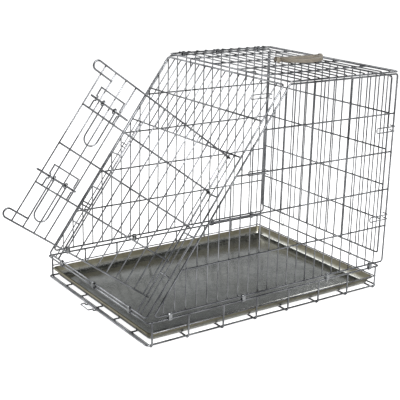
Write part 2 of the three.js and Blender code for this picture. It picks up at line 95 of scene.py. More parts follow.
def chooseEdges(piece, test):
    bpy.ops.mesh.select_mode(type="EDGE")
    bpy.ops.mesh.select_all(action="DESELECT")
    drawn = bmesh.from_edit_mesh(piece.data)
    for edge in [e for e in drawn.edges if test(e.verts[0].co, e.verts[1].co)]:
        edge.select_set(True)
    bmesh.update_edit_mesh(piece.data)


def settle():  # the new object's place goes into its mesh
    bpy.ops.object.transform_apply(location=True, rotation=True, scale=True)
    return bpy.context.active_object


def turnFor(direction):
    return Vector(direction).to_track_quat("Z", "X").to_euler()


def joinUp(pieces):
    takeUp(*pieces)
    if len(pieces) > 1:
        bpy.ops.object.join()
    return bpy.context.active_object


def repeat(piece, step, count):
    takeUp(piece)
    bpy.ops.object.modifier_add(type="ARRAY")
    row = piece.modifiers[-1]
    row.use_relative_offset = False
    row.use_constant_offset = True
    row.constant_offset_displace = step
    row.count = count
    bpy.ops.object.modifier_apply(modifier=row.name)
    return piece


def repeatTwice(piece, step, count, otherStep, otherCount):
    return repeat(repeat(piece, step, count), otherStep, otherCount)


def mirrorCopy(piece):  # a copy on the other side of the crate
    takeUp(piece)
    bpy.ops.object.duplicate(linked=False)
    copy = bpy.context.active_object
    openEdit(copy)
    bpy.ops.mesh.select_all(action="SELECT")
    bpy.ops.transform.resize(value=(-1, 1, 1), center_override=(0, 0, 0))
    bpy.ops.mesh.normals_make_consistent(inside=False)
    closeEdit()
    return copy


def trim(piece, place, outward):  # cuts off all that lies outside a plane
    openEdit(piece)
    bpy.ops.mesh.select_all(action="SELECT")
    bpy.ops.mesh.bisect(plane_co=place, plane_no=outward, use_fill=True, clear_outer=True)
    closeEdit()
    return piece


def addRod(start, end, thick, sides=None, nose=0.22):
    start, end = Vector(start), Vector(end)
    clearSelection()
    bpy.ops.mesh.primitive_cylinder_add(
        vertices=sides or build["barSides"], radius=thick / 2, depth=(end - start).length,
        location=(start + end) / 2, rotation=turnFor(end - start))
    rod = settle()
    direction = (end - start).normalized()
    openEdit(rod)
    chooseFaces(rod, lambda centre, normal: abs(normal.dot(direction)) > 0.9)
    bpy.ops.mesh.bevel(offset=thick * nose, segments=2)  # the shears leave a rolled edge
    closeEdit()
    return rod


def startWire(place, direction, thick, sides=None, wide=None):
    clearSelection()
    bpy.ops.mesh.primitive_circle_add(
        vertices=sides or build["barSides"], radius=thick / 2, fill_type="NOTHING",
        location=place, rotation=turnFor(direction))
    ring = settle()
    openEdit(ring, "VERT")
    bpy.ops.mesh.select_all(action="SELECT")
    if wide:  # rolled strip in place of round wire
        side, share = wide
        stretch = [1 + (share - 1) * abs(c) for c in side]
        bpy.ops.transform.resize(value=stretch, center_override=place)
    return ring


def runOn(shift):
    bpy.ops.mesh.extrude_region_move(TRANSFORM_OT_translate={"value": shift})


def bendRound(centre, axis, angle, steps=None):
    bpy.ops.mesh.spin(steps=steps or build["bendSteps"], angle=-angle, center=centre, axis=axis)


def endWire(isClosed=False):
    bpy.ops.mesh.select_all(action="SELECT")
    if isClosed:
        bpy.ops.mesh.remove_doubles(threshold=0.00002)
    else:
        bpy.ops.mesh.fill_holes(sides=0)
    bpy.ops.mesh.normals_make_consistent(inside=False)
    closeEdit()
    return bpy.context.active_object


def bendAt(before, corner, after, bend):  # where a bend starts and ends, its centre, axis and angle
    into = (corner - before).normalized()
    away = (after - corner).normalized()
    axis = into.cross(away).normalized()
    turn = into.angle(away)
    back = bend * math.tan(turn / 2)
    first = corner - into * back
    return first, corner + away * back, first + axis.cross(into) * bend, axis, turn


def bentWire(corners, thick, bend, isClosed=False, sides=None):
    points = [Vector(point) for point in corners]
    if isClosed:
        start = (points[-1] + points[0]) / 2
        path = points + [start]
    else:
        start, path = points[0], points[1:]
    ring = startWire(start, path[0] - start, thick, sides)
    here, last = start, start
    for i, corner in enumerate(path[:-1]):
        first, second, centre, axis, turn = bendAt(last, corner, path[i + 1], bend)
        runOn(first - here)
        bendRound(centre, axis, turn)
        here, last = second, corner
    runOn(path[-1] - here)
    endWire(isClosed)
    return ring


# A weld, where two wires are squeezed into each other and burnt
def addWeld(place, thick, axis):
    clearSelection()
    bpy.ops.mesh.primitive_ico_sphere_add(subdivisions=1, radius=thick * 0.62, location=place)
    bead = settle()
    openEdit(bead)
    bpy.ops.mesh.select_all(action="SELECT")
    squeeze = [1 - 0.25 * abs(c) for c in axis]
    bpy.ops.transform.resize(value=squeeze, center_override=place)
    closeEdit()
    heat = bead.data.attributes.new("weldHeat", "FLOAT", "POINT")
    heat.data.foreach_set("value", [1.0] * len(bead.data.vertices))
    return bead


def finishPiece(name, parts, body, node, material, crease=60):
    piece = joinUp(parts)
    bpy.ops.object.shade_smooth_by_angle(angle=math.radians(crease))
    piece.name = name
    piece.data.name = name
    piece.data.materials.clear()
    piece.data.materials.append(material)
    for face in piece.data.polygons:
        face.material_index = 0
    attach(piece, body)
    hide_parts(node)
    return piece


def newGroup(name, inputs, outputs):
    group = bpy.data.node_groups.new(name, "ShaderNodeTree")
    for label, kind, value in inputs:
        group.interface.new_socket(name=label, in_out="INPUT", socket_type=kind).default_value = value
    for label, kind in outputs:
        group.interface.new_socket(name=label, in_out="OUTPUT", socket_type=kind)
    return group


def addNode(tree, kind, place, **settings):
    node = tree.nodes.new(kind)
    node.location = place
    for label, value in settings.items():
        setattr(node, label, value)
    return node


def feed(tree, node, values):  # links or plain values into the inputs
    for label, value in values.items():
        if isinstance(value, bpy.types.NodeSocket):
            tree.links.new(value, node.inputs[label])
        else:
            node.inputs[label].default_value = value
    return node


def makeCloudGroup():  # slow and fast mottling of a metal finish, and a fine bump
    group = newGroup("finishClouds",
                     [("Broad", "NodeSocketFloat", 18.0), ("Fine", "NodeSocketFloat", 420.0),
                      ("Depth", "NodeSocketFloat", 0.1)],
                     [("Cloud", "NodeSocketFloat"), ("Grain", "NodeSocketFloat"),
                      ("Normal", "NodeSocketVector")])
    source = addNode(group, "NodeGroupInput", (-900, 0))
    result = addNode(group, "NodeGroupOutput", (500, 0))
    place = addNode(group, "ShaderNodeTexCoord", (-900, 260))
    broad = feed(group, addNode(group, "ShaderNodeTexNoise", (-600, 220)),
                 {"Vector": place.outputs["Object"], "Scale": source.outputs["Broad"], "Detail": 4.0})
    fine = feed(group, addNode(group, "ShaderNodeTexNoise", (-600, -80)),
                {"Vector": place.outputs["Object"], "Scale": source.outputs["Fine"], "Detail": 3.0})
    cloud = addNode(group, "ShaderNodeMapRange", (-300, 220))
    feed(group, cloud, {"Value": broad.outputs["Fac"], "From Min": 0.32, "From Max": 0.68})
    grain = addNode(group, "ShaderNodeMapRange", (-300, -80))
    feed(group, grain, {"Value": fine.outputs["Fac"], "From Min": 0.3, "From Max": 0.7})
    bump = feed(group, addNode(group, "ShaderNodeBump", (100, -200)),
                {"Strength": source.outputs["Depth"], "Distance": 0.0004, "Height": fine.outputs["Fac"]})
    group.links.new(cloud.outputs["Result"], result.inputs["Cloud"])
    group.links.new(grain.outputs["Result"], result.inputs["Grain"])
    group.links.new(bump.outputs["Normal"], result.inputs["Normal"])
    return group


finishClouds = makeCloudGroup()


def newFinish(name, look):
    material = bpy.data.materials.new(name)
    material.use_nodes = True
    tree = material.node_tree
    shader = tree.nodes["Principled BSDF"]
    clouds = addNode(tree, "ShaderNodeGroup", (-900, 0), node_tree=finishClouds)
    feed(tree, clouds, {"Broad": look["broad"], "Fine": look["fine"], "Depth": look["depth"]})
    shader.inputs["Metallic"].default_value = look["metallic"]
    tree.links.new(clouds.outputs["Normal"], shader.inputs["Normal"])
    return material, tree, shader, clouds


def blendColours(tree, mask, low, high, place, method="MIX"):
    mix = addNode(tree, "ShaderNodeMix", place, data_type="RGBA", blend_type=method)
    tree.links.new(mask, mix.inputs["Factor"])
    for index, colour in ((6, low), (7, high)):
        if isinstance(colour, bpy.types.NodeSocket):
            tree.links.new(colour, mix.inputs[index])
        else:
            mix.inputs[index].default_value = (*colour, 1.0)
    return mix.outputs[2]


def spanOf(tree, value, low, high, place):
    span = addNode(tree, "ShaderNodeMapRange", place)
    feed(tree, span, {"Value": value, "To Min": low, "To Max": high})
    return span.outputs["Result"]


zincLook = {"broad": 14.0, "fine": 700.0, "depth": 0.12, "metallic": 1.0,
            "dull": (0.10, 0.103, 0.11), "bright": (0.38, 0.388, 0.402), "burnt": (0.07, 0.065, 0.06),
            "smooth": 0.14, "rough": 0.3}


def makeZinc(name, look):
    material, tree, shader, clouds = newFinish(name, look)
    colour = blendColours(tree, clouds.outputs["Cloud"], look["dull"], look["bright"], (-600, 200))
    heat = addNode(tree, "ShaderNodeAttribute", (-900, 320), attribute_name="weldHeat")
    burnt = blendColours(tree, heat.outputs["Fac"], colour, look["burnt"], (-350, 250))
    tree.links.new(burnt, shader.inputs["Base Color"])
    tree.links.new(spanOf(tree, clouds.outputs["Grain"], look["smooth"], look["rough"], (-600, -120)),
                   shader.inputs["Roughness"])
    return material


sheetLook = {"broad": 5.0, "fine": 260.0, "depth": 0.04, "metallic": 1.0,
             "dull": (0.50, 0.514, 0.50), "bright": (0.60, 0.614, 0.595),
             # the wall colour below is a painted warm reflection and painted shade, multiplied onto the walls
             "paintedWallReflection": (0.46, 0.42, 0.32), "wallRough": 0.26,
             "wallFrom": 0.012, "wallTo": 0.024, "spangle": 85.0, "smooth": 0.13, "rough": 0.2}


def makeGalvanised(name, look):  # spangle crystals a centimetre or so wide; the walls are rougher and carry a painted warm reflection and painted shade, warmer and darker than the floor
    material, tree, shader, clouds = newFinish(name, look)
    place = addNode(tree, "ShaderNodeTexCoord", (-1300, 300))
    crystals = addNode(tree, "ShaderNodeTexVoronoi", (-1050, 300), feature="F1")
    feed(tree, crystals, {"Vector": place.outputs["Object"], "Scale": look["spangle"], "Randomness": 1.0})
    tone = addNode(tree, "ShaderNodeSeparateColor", (-850, 300))
    tree.links.new(crystals.outputs["Color"], tone.inputs["Color"])
    cell = blendColours(tree, tone.outputs["Red"], look["dull"], look["bright"], (-600, 300))
    cloudy = blendColours(tree, clouds.outputs["Cloud"], (0.84, 0.83, 0.80), (1.0, 1.0, 1.0), (-600, 60))
    colour = addNode(tree, "ShaderNodeMix", (-350, 250), data_type="RGBA", blend_type="MULTIPLY")
    colour.inputs["Factor"].default_value = 1.0
    tree.links.new(cell, colour.inputs[6])
    tree.links.new(cloudy, colour.inputs[7])
    height = addNode(tree, "ShaderNodeSeparateXYZ", (-1050, 520))
    tree.links.new(place.outputs["Object"], height.inputs[0])
    wall = addNode(tree, "ShaderNodeMapRange", (-850, 520))
    feed(tree, wall, {"Value": height.outputs["Z"], "From Min": look["wallFrom"], "From Max": look["wallTo"]})
    # painted warm reflection and painted shade: from the wallFrom height up, the walls are tinted warmer and
    # darker
    paintedReflection = blendColours(tree, wall.outputs["Result"], (1.0, 1.0, 1.0), look["paintedWallReflection"], (-600, 520))
    paintedWallColour = addNode(tree, "ShaderNodeMix", (-150, 300), data_type="RGBA", blend_type="MULTIPLY")
    paintedWallColour.inputs["Factor"].default_value = 1.0
    tree.links.new(colour.outputs[2], paintedWallColour.inputs[6])
    tree.links.new(paintedReflection, paintedWallColour.inputs[7])
    tree.links.new(paintedWallColour.outputs[2], shader.inputs["Base Color"])
    crystalRough = spanOf(tree, tone.outputs["Green"], look["smooth"], look["rough"], (-600, -160))
    drawnRough = spanOf(tree, wall.outputs["Result"], 0.0, look["wallRough"], (-600, -420))
    rough = addNode(tree, "ShaderNodeMath", (-350, -260), operation="ADD")
    tree.links.new(crystalRough, rough.inputs[0])
    tree.links.new(drawnRough, rough.inputs[1])
    tree.links.new(rough.outputs[0], shader.inputs["Roughness"])
    return material


plasticLook = {"broad": 30.0, "fine": 1500.0, "depth": 0.25, "metallic": 0.0,
               "dull": (0.20, 0.172, 0.135), "bright": (0.28, 0.245, 0.195), "smooth": 0.42, "rough": 0.6}


def makePlastic(name, look):
    material, tree, shader, clouds = newFinish(name, look)
    colour = blendColours(tree, clouds.outputs["Cloud"], look["dull"], look["bright"], (-600, 200))
    tree.links.new(colour, shader.inputs["Base Color"])
    tree.links.new(spanOf(tree, clouds.outputs["Grain"], look["smooth"], look["rough"], (-600, -120)),
                   shader.inputs["Roughness"])
    return material


clipLook = dict(zincLook, dull=(0.22, 0.225, 0.23), bright=(0.42, 0.43, 0.44), smooth=0.18, rough=0.34)
zincWire = makeZinc("zincWire", zincLook)
clipSteel = makeZinc("clipSteel", clipLook)
galvanisedSheet = makeGalvanised("galvanisedSheet", sheetLook)
handlePlastic = makePlastic("handlePlastic", plasticLook)
print("finishes made")


# Centre lines of the frame wires, taken from the loaded model
half = wire["frame"] / 2
baseLow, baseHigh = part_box("base_frame")
rimX, frontY, rearY, rimZ = baseHigh.x - half, baseLow.y + half, baseHigh.y - half, baseHigh.z - half
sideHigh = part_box("right_side_panel")[1]
sideX, sideRear, sideTop = sideHigh.x - half, sideHigh.y - half, sideHigh.z - half
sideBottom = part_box("right_side_panel")[0].z + half
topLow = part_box("top_panel")[0]
topFront, topZ = topLow.y + half, topLow.z + half
backLow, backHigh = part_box("back_panel")
backY, endHalf = backLow.y + half, backHigh.x - half


base = {"uWires": 8, "floorWires": 5, "middleZ": 0.037, "endInset": 0.012, "bottomLift": 0.0071,
        "floorZ": 0.0064, "hoopTuck": 0.0015, "overrun": 0.001, "floorWeldZ": 0.0047,
        "rimWeldDrop": 0.0026, "weldInset": 0.002}


def makeBase():
    end = rearY - base["endInset"]
    step = 2 * end / (base["uWires"] - 1)
    hoopTop = rimZ - base["hoopTuck"]
    hoop = bentWire([(-rimX, -end, hoopTop), (-rimX, -end, half), (rimX, -end, half), (rimX, -end, hoopTop)],
                    wire["frame"], build["frameBend"], sides=build["frameSides"])
    hoops = repeat(hoop, along * step, base["uWires"])
    bottomX = rimX - wire["frame"] + build["weldSink"]
    parts = [hoops]
    for x, z in ((rimX, rimZ), (bottomX, base["bottomLift"])):
        corners = [(-x, frontY, z), (x, frontY, z), (x, rearY, z), (-x, rearY, z)]
        parts.append(bentWire(corners, wire["frame"], build["frameBend"], True, build["frameSides"]))
    gap = 2 * bottomX / (base["floorWires"] + 1)
    firstX = gap - bottomX
    floorRod = addRod((firstX, frontY, base["floorZ"]), (firstX, rearY, base["floorZ"]), wire["rail"])
    parts.append(repeat(floorRod, across * gap, base["floorWires"]))
    middleX, middleEnd = rimX - barLift, end + base["overrun"]
    for x in (-middleX, middleX):
        parts.append(addRod((x, -middleEnd, base["middleZ"]), (x, middleEnd, base["middleZ"]), wire["mesh"]))
    middleY = end + barLift
    parts.append(addRod((-rimX, middleY, base["middleZ"]), (rimX, middleY, base["middleZ"]), wire["mesh"]))
    floorWeld = addWeld((firstX, -end, base["floorWeldZ"]), wire["rail"], upward)
    parts.append(repeatTwice(floorWeld, across * gap, base["floorWires"], along * step, base["uWires"]))
    for x in (-rimX, rimX):
        inner = x * (1 - base["weldInset"] / rimX)
        for place, z, size in ((x, rimZ - base["rimWeldDrop"], wire["frame"]),
                               (inner, base["bottomLift"], wire["rail"]),
                               (inner, base["middleZ"], wire["mesh"])):
            parts.append(repeat(addWeld((place, -end, z), size, across), along * step, base["uWires"]))
    return finishPiece("base_wire_frame", parts, "base", "base_frame", zincWire)


makeBase()
print("base made")


tray = {"sheet": 0.0012, "taper": 0.009, "lip": 0.0055, "corner": 0.012, "foot": 0.004, "step": 0.028,
        "stepRun": 0.004, "stepHeight": 0.0012, "headroom": 0.0015, "drop": 0.00055,
        "roll": ((0.0016, 0.0), (0.0018, -0.0006), (0.0008, -0.0012), (-0.0006, -0.0014))}  # outward, down


def makeTray():
    low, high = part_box("tray")
    wallX, wallY = high.x - tray["lip"], high.y - tray["lip"]
    clearSelection()
    bpy.ops.mesh.primitive_cube_add(size=1, location=(0, 0, (low.z + high.z) / 2 - tray["drop"]))
    pan = bpy.context.active_object
    pan.scale = (2 * wallX, 2 * wallY, high.z - low.z - tray["headroom"])
    settle()
    openEdit(pan)
    chooseFaces(pan, lambda centre, normal: normal.z < -0.9)
    bpy.ops.transform.resize(value=(1 - tray["taper"] / wallX, 1 - tray["taper"] / wallY, 1),
                             center_override=(0, 0, low.z))
    chooseEdges(pan, lambda a, b: abs(a.z - b.z) > 0.01)
    bpy.ops.mesh.bevel(offset=tray["corner"], segments=5)
    chooseFaces(pan, lambda centre, normal: normal.z > 0.9)
    bpy.ops.mesh.delete(type="FACE")
    chooseFaces(pan, lambda centre, normal: normal.z < -0.9)
    bpy.ops.mesh.bevel(offset=tray["foot"], segments=4)  # pressed radius at the foot of the walls
    chooseFaces(pan, lambda centre, normal: normal.z < -0.99)
    for share, lift in ((tray["step"], 0.0), (tray["stepRun"], tray["stepHeight"])):  # step in the floor
        bpy.ops.mesh.extrude_region_move(TRANSFORM_OT_translate={"value": (0, 0, lift)})
        bpy.ops.transform.resize(value=(1 - share / wallX, 1 - share / wallY, 1), center_override=(0, 0, 0))
    rim = max(vertex.co.z for vertex in bmesh.from_edit_mesh(pan.data).verts)
    chooseEdges(pan, lambda a, b: a.z > rim - 0.0001 and b.z > rim - 0.0001)
    for out, drop in tray["roll"]:  # the lip
        bpy.ops.mesh.extrude_region_move(TRANSFORM_OT_translate={"value": (0, 0, drop)})
        bpy.ops.transform.resize(value=(1 + out / wallX, 1 + out / wallY, 1), center_override=(0, 0, 0))
    closeEdit()
    takeUp(pan)
    bpy.ops.object.modifier_add(type="SOLIDIFY")
    wall = pan.modifiers[-1]
    wall.thickness = tray["sheet"]
    wall.offset = -1
    bpy.ops.object.modifier_apply(modifier=wall.name)
    openEdit(pan)
    bpy.ops.mesh.select_all(action="SELECT")
    bpy.ops.mesh.normals_make_consistent(inside=False)
    closeEdit()
    return finishPiece("tray_pan", [pan], "tray", "tray", galvanisedSheet, 40)


makeTray()
print("tray made")


catch = {"width": 0.046, "x": -0.018, "reach": 0.020, "tail": 0.0006, "bend": 0.0016}


def makeCatch():
    y, z = frontY, base["bottomLift"]
    e = half + build["play"] + wire["mesh"] / 2
    x0, x1 = catch["x"] - catch["width"] / 2, catch["x"] + catch["width"] / 2
    corners = [(x0, y + e, z + catch["tail"]), (x0, y + e, z - e), (x0, y - e, z - e), (x0, y - e, z),
               (x0, y - catch["reach"], z), (x1, y - catch["reach"], z), (x1, y - e, z), (x1, y - e, z - e),
               (x1, y + e, z - e), (x1, y + e, z + catch["tail"])]
    loop = bentWire(corners, wire["mesh"], catch["bend"])
    return finishPiece("tray_stop_wire", [loop], "tray_catch", "tray_catch", zincWire)


makeCatch()


side = {"setback": 0.014, "spaces": 5, "barSpaces": 24}
sideFront = frontY + side["setback"]
slope = math.atan2(sideTop - sideBottom, topFront - sideFront)
slopeUp = Vector((0, math.cos(slope), math.sin(slope)))
slopeOut = Vector((0, -math.sin(slope), math.cos(slope)))


def makeSides():
    barX = sideX - barLift
    weldX = sideX - half + build["weldSink"] / 2
    barStep = (sideRear - sideFront) / side["barSpaces"]
    railStep = (sideTop - sideBottom) / side["spaces"]
    corners = [(sideX, sideFront, sideBottom), (sideX, sideRear, sideBottom), (sideX, sideRear, sideTop),
               (sideX, topFront, sideTop)]
    loop = bentWire(corners, wire["frame"], build["frameBend"], True, build["frameSides"])
    bar = addRod((barX, sideFront + barStep, sideBottom), (barX, sideFront + barStep, sideTop), wire["mesh"])
    bars = repeat(bar, along * barStep, side["barSpaces"] - 1)
    firstRail = sideBottom + railStep
    rail = addRod((sideX, sideFront, firstRail), (sideX, sideRear, firstRail), wire["rail"])
    rails = repeat(rail, upward * railStep, side["spaces"] - 1)
    weld = addWeld((weldX, sideFront + barStep, sideBottom), wire["rail"], across)
    welds = repeatTwice(weld, along * barStep, side["barSpaces"] - 1, upward * railStep, side["spaces"] + 1)
    grid = trim(joinUp([bars, rails, welds]), (sideX, sideFront, sideBottom), slopeOut)
    parts = [loop, grid]
    for i in range(1, side["barSpaces"]):
        height = i * barStep * math.tan(slope)
        if height < sideTop - sideBottom:
            parts.append(addWeld((weldX, sideFront + i * barStep, sideBottom + height), wire["rail"], across))
    for i in range(1, side["spaces"]):
        parts.append(addWeld((sideX, sideRear, sideBottom + i * railStep), wire["frame"], upward))
    right = joinUp(parts)
    left = mirrorCopy(right)
    finishPiece("right_side_grille", [right], "right_side", "right_side_panel", zincWire)
    finishPiece("left_side_grille", [left], "left_side", "left_side_panel", zincWire)


makeSides()
print("side panels made")


back = {"spaces": 5, "barSpaces": 17}


def makeBack():
    low, high = backLow.z + half, backHigh.z - half
    railStep = (high - low) / back["spaces"]
    barStep = 2 * endHalf / back["barSpaces"]
    barY = backY + barLift
    corners = [(-endHalf, backY, low), (endHalf, backY, low), (endHalf, backY, high), (-endHalf, backY, high)]
    loop = bentWire(corners, wire["frame"], build["frameBend"], True, build["frameSides"])
    bar = addRod((barStep - endHalf, barY, low), (barStep - endHalf, barY, high), wire["mesh"])
    bars = repeat(bar, across * barStep, back["barSpaces"] - 1)
    rail = addRod((-endHalf, backY, low + railStep), (endHalf, backY, low + railStep), wire["rail"])
    rails = repeat(rail, upward * railStep, back["spaces"] - 1)
    weld = addWeld((barStep - endHalf, backY + half, low), wire["rail"], along)
    welds = repeatTwice(weld, across * barStep, back["barSpaces"] - 1, upward * railStep, back["spaces"] + 1)
    return finishPiece("back_grille", [loop, bars, rails, welds], "back", "back_panel", zincWire)


makeBack()
print("back panel made")


top = {"railSpaces": 5, "barSpaces": 12}


def makeTop():
    railStep = 2 * sideX / top["railSpaces"]
    barStep = (sideRear - topFront) / top["barSpaces"]
    barZ = topZ + barLift
    corners = [(-sideX, topFront, topZ), (sideX, topFront, topZ), (sideX, sideRear, topZ),
               (-sideX, sideRear, topZ)]
    loop = bentWire(corners, wire["frame"], build["frameBend"], True, build["frameSides"])
    bar = addRod((-sideX, topFront + barStep, barZ), (sideX, topFront + barStep, barZ), wire["mesh"])
    bars = repeat(bar, along * barStep, top["barSpaces"] - 1)
    rail = addRod((railStep - sideX, topFront, topZ), (railStep - sideX, sideRear, topZ), wire["rail"])
    rails = repeat(rail, across * railStep, top["railSpaces"] - 1)
    weld = addWeld((-sideX, topFront + barStep, topZ + half), wire["rail"], upward)
    welds = repeatTwice(weld, across * railStep, top["railSpaces"] + 1, along * barStep, top["barSpaces"] - 1)
    return finishPiece("top_grille", [loop, bars, rails, welds], "top", "top_panel", zincWire)


makeTop()
print("top panel made")


front = {"gap": 0.010, "topClearance": 0.014, "openingTop": 0.462, "upperRail": 0.84, "barSpaces": 17,
         "hingeInset": 0.046, "doorWidth": 0.432, "doorGap": 0.008, "lowSpaces": 4}
frontFoot = Vector((0, frontY, rimZ + front["gap"]))
frontLength = math.hypot(topFront - frontFoot.y, topZ - frontFoot.z) - front["topClearance"]
hingeX = endHalf - front["hingeInset"]
farX = hingeX - front["doorWidth"] - front["doorGap"]
latch = {"above": 0.026, "stand": 0.007, "length": 0.116, "guideWide": 0.072, "guideHigh": 0.054,
         "guideInset": 0.015, "guideBend": 0.0019, "guideTail": 0.0017, "handleWide": 0.036,
         "handleDrop": 0.099, "keeperPlay": 0.001, "keeperRoot": 0.003, "keeperBend": 0.003,
         "seatGap": 0.0003, "slideGap": 0.0004}
door = {"low": 0.048, "high": 0.452, "rails": 5, "bars": 14, "hairpinReach": 0.030, "hairpinBack": 0.062,
        "hairpinWide": 0.022}


def doorRailAt(index):
    return door["low"] + (door["high"] - door["low"]) * index / (door["rails"] - 1)


def onSlope(x, rise, out=0.0):
    return frontFoot + across * x + slopeUp * rise + slopeOut * out


def slopeRod(x0, x1, rise, thick=wire["rail"]):
    return addRod(onSlope(x0, rise), onSlope(x1, rise), thick)


def makeFront():
    corners = [onSlope(-endHalf, 0), onSlope(endHalf, 0), onSlope(endHalf, frontLength),
               onSlope(-endHalf, frontLength)]
    parts = [bentWire(corners, wire["frame"], build["frameBend"], True, build["frameSides"])]
    opening = front["openingTop"]
    rises = (0, opening, front["upperRail"] * frontLength, frontLength)
    parts += [slopeRod(-endHalf, endHalf, rise) for rise in rises[1:3]]
    for x in (farX, hingeX):
        parts.append(addRod(onSlope(x, 0), onSlope(x, opening), wire["frame"], build["frameSides"]))
        parts += [addWeld(onSlope(x, rise), wire["frame"], slopeOut) for rise in (0, opening)]
    step = opening / front["lowSpaces"]
    for x0, x1 in ((-endHalf, farX), (hingeX, endHalf)):
        parts.append(repeat(slopeRod(x0, x1, step), slopeUp * step, front["lowSpaces"] - 1))
        for x in (x0, x1):
            parts.append(repeat(addWeld(onSlope(x, step), wire["frame"], slopeUp), slopeUp * step,
                                front["lowSpaces"] - 1))
    leg = half + latch["keeperPlay"] + wire["keeper"] / 2
    for rise in (doorRailAt(1) + latch["above"] - leg, doorRailAt(1) + latch["above"] + leg):
        parts.append(slopeRod(-endHalf, farX, rise))
    barStep = 2 * endHalf / front["barSpaces"]
    outer = barStep - endHalf
    for x in (outer, -outer):
        parts.append(addRod(onSlope(x, 0, -barLift), onSlope(x, frontLength, -barLift), wire["mesh"]))
        for i in range(front["lowSpaces"]):
            parts.append(addWeld(onSlope(x, step * i, -half), wire["rail"], slopeOut))
    inner = outer + barStep
    short = addRod(onSlope(inner, opening, -barLift), onSlope(inner, frontLength, -barLift), wire["mesh"])
    parts.append(repeat(short, across * barStep, front["barSpaces"] - 3))
    for rise in rises[1:]:
        parts.append(repeat(addWeld(onSlope(outer, rise, -half), wire["rail"], slopeOut), across * barStep,
                            front["barSpaces"] - 1))
    return finishPiece("sloping_front_grille", parts, "front", "front_panel", zincWire)


makeFront()
print("front panel made")

# The door stands open at a right angle to the front
eye = half + build["play"] + wire["rail"] / 2
railPlane = hingeX + eye
barPlane = railPlane - (wire["rail"] + wire["mesh"]) / 2 + build["weldSink"]
boltPlane = railPlane + latch["stand"]


def onDoor(reach, rise, x=railPlane):
    return onSlope(x, rise, reach)


def doorRail(rise, inward):  # inward is 0 for a plain rail, or the side its hairpin turns to
    reach = front["doorWidth"]
    tip = reach + door["hairpinReach"]
    if inward:
        bend = door["hairpinWide"] / 2
        start = onDoor(tip - door["hairpinBack"], rise + inward * door["hairpinWide"])
        rail = startWire(start, slopeOut, wire["rail"])
        runOn(onDoor(tip - bend, rise + inward * door["hairpinWide"]) - start)
        bendRound(onDoor(tip - bend, rise + inward * bend), across, inward * math.pi, 12)
        runOn(onDoor(0, rise) - onDoor(tip - bend, rise))
    else:
        rail = startWire(onDoor(reach, rise), slopeOut, wire["rail"])
        runOn(onDoor(0, rise) - onDoor(reach, rise))
    bendRound(onSlope(hingeX, rise), slopeUp, math.radians(300), 18)  # the eye round the hinge stile
    endWire()
    return rail


def makeDoor():
    parts = []
    for i in range(door["rails"]):
        inward = {0: 1, door["rails"] - 1: -1}.get(i, 0)
        parts.append(doorRail(doorRailAt(i), inward))
    first = eye + wire["rail"] + wire["mesh"]
    step = (front["doorWidth"] - first) / (door["bars"] - 1)
    railStep = doorRailAt(1) - doorRailAt(0)
    bar = addRod(onDoor(first, door["low"] - 0.001, barPlane), onDoor(first, door["high"] + 0.001, barPlane),
                 wire["mesh"])
    parts.append(repeat(bar, slopeOut * step, door["bars"]))
    weld = addWeld(onDoor(first, door["low"], railPlane - wire["rail"] / 2), wire["rail"] * 0.9, across)
    parts.append(repeatTwice(weld, slopeOut * step, door["bars"], slopeUp * railStep, door["rails"]))
    return finishPiece("door_grille", parts, "door", "door_panel", zincWire)


makeDoor()
print("door made")

latches = {"upper": {"rail": 3, "past": 0.0, "handleInset": 0.037, "keeperPast": 0.0095},
           "lower": {"rail": 1, "past": 0.020, "handleInset": 0.029, "keeperPast": 0.0245}}


def makeGuide(name, rise):
    outer = front["doorWidth"] - latch["guideInset"]
    inner = outer - latch["guideWide"]
    seat = railPlane + (wire["rail"] + wire["latch"]) / 2 + latch["seatGap"]
    crown = boltPlane + half + wire["latch"] / 2 + 2 * latch["slideGap"]
    bolt, high = rise + latch["above"], rise + latch["guideHigh"]
    gap = half + wire["latch"] / 2 + 2.5 * latch["slideGap"]
    parts = []
    for height in (rise, high):
        parts.append(addRod(onDoor(inner, height, seat), onDoor(outer, height, seat), wire["latch"]))
    for reach in (inner, outer):
        path = [(seat, rise - latch["guideTail"]), (seat, bolt - gap), (crown, bolt - gap),
                (crown, bolt + gap), (seat, bolt + gap), (seat, high + latch["guideTail"])]
        parts.append(bentWire([onDoor(reach, y, x) for x, y in path], wire["latch"], latch["guideBend"]))
        parts += [addWeld(onDoor(reach, y, seat), wire["latch"], slopeUp) for y in (rise, high)]
    finishPiece(name + "_bolt_guide", parts, "door", name + "_latch_guide", zincWire)


def makeBolt(name, rise, past):
    tip = front["doorWidth"] + past
    y = rise + latch["above"]
    rod = addRod(onDoor(tip - latch["length"], y, boltPlane), onDoor(tip, y, boltPlane), wire["frame"],
                 build["frameSides"], 0.4)
    finishPiece(name + "_slide_bolt", [rod], name + "_bolt", name + "_latch_bolt", zincWire)


def makeHandle(name, rise, inset):
    y = rise + latch["above"]
    outer = front["doorWidth"] - inset
    inner = outer - latch["handleWide"]
    e = half + build["play"] + wire["latch"] / 2
    plane = boltPlane + e
    bend = latch["handleWide"] / 2
    low = y - latch["handleDrop"] + bend
    loop = startWire(onDoor(inner, y, plane), -slopeUp, wire["latch"])
    runOn(onDoor(inner, low, plane) - onDoor(inner, y, plane))
    bendRound(onDoor(inner + bend, low, plane), across, -math.pi, 14)
    runOn(onDoor(outer, y, plane) - onDoor(outer, low, plane))
    endWire()
    parts = [loop]
    for reach in (inner, outer):
        turn = startWire(onDoor(reach, y, plane), slopeUp, wire["latch"])
        bendRound(onDoor(reach, y, boltPlane), slopeOut, math.radians(315), 16)
        parts.append(endWire())
    finishPiece(name + "_pull_handle", parts, name + "_handle", name + "_latch_handle", zincWire)


